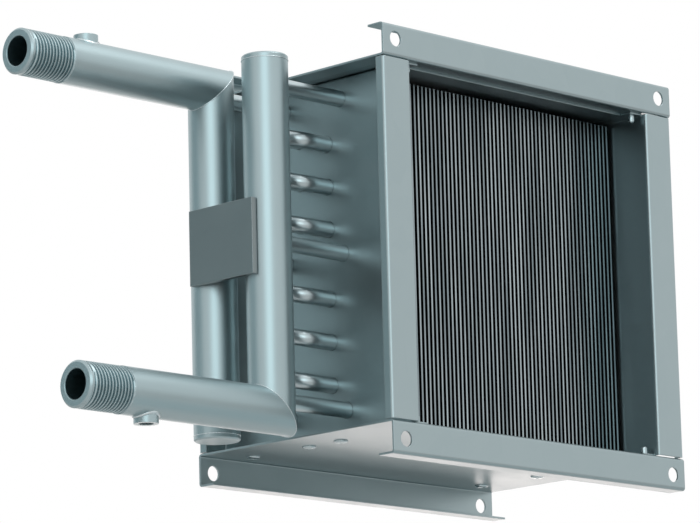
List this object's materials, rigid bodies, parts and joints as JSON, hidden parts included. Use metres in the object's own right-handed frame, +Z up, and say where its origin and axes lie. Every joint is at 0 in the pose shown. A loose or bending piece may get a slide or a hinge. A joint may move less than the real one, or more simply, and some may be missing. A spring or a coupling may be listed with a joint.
{
  "type": "duct water heating coil",
  "caption": "Flanged square duct casing round a finned tube block, with two side headers and threaded water connections.",
  "frame": {"origin": "centre of the front flange's outer face, on the duct's axis", "axes": "+X to the right seen from the front (the headers are on the -X side), +Y along the duct from the front flange to the rear flange, +Z up"},
  "size_m": [0.4468, 0.16, 0.25],
  "materials": {
    "galvanised_casing": "galvanised sheet, bluish grey, slightly glossy",
    "rivet_steel": "zinc-plated blind rivets",
    "header_pipe": "bare steel pipe, grey, glossy",
    "strap_steel": "dark bare steel plate",
    "coil_tube": "smooth grey metal tube",
    "fin_metal": "bare sheet fins"
  },
  "bodies": {
    "root": {"top_panel": "galvanised_casing", "bottom_panel": "galvanised_casing", "left_side_panel": "galvanised_casing", "right_side_panel": "galvanised_casing", "upper_baffle": "galvanised_casing", "lower_baffle": "galvanised_casing", "top_left_rivets": "rivet_steel", "top_right_rivets": "rivet_steel", "bottom_left_rivets": "rivet_steel", "bottom_right_rivets": "rivet_steel", "front_header": "header_pipe", "rear_header": "header_pipe", "front_header_cap": "header_pipe", "rear_header_cap": "header_pipe", "upper_connection_pipe": "header_pipe", "lower_connection_pipe": "header_pipe", "vent_boss": "header_pipe", "drain_boss": "header_pipe", "header_strap": "strap_steel", "upper_front_feed_tube": "coil_tube", "upper_rear_feed_tube": "coil_tube", "middle_front_feed_tube": "coil_tube", "middle_rear_feed_tube": "coil_tube", "lower_front_feed_tube": "coil_tube", "lower_rear_feed_tube": "coil_tube", "upper_hairpin_tube_1": "coil_tube", "upper_hairpin_tube_2": "coil_tube", "upper_hairpin_tube_3": "coil_tube", "upper_feed_bend": "coil_tube", "upper_rear_return_bend": "coil_tube", "upper_front_return_bend": "coil_tube", "upper_crossover_bend": "coil_tube", "middle_hairpin_tube_1": "coil_tube", "middle_hairpin_tube_2": "coil_tube", "middle_hairpin_tube_3": "coil_tube", "middle_feed_bend": "coil_tube", "middle_rear_return_bend": "coil_tube", "middle_front_return_bend": "coil_tube", "middle_crossover_bend": "coil_tube", "lower_level_bend": "coil_tube", "fin_pack": "fin_metal"}
  },
  "joints": []
}
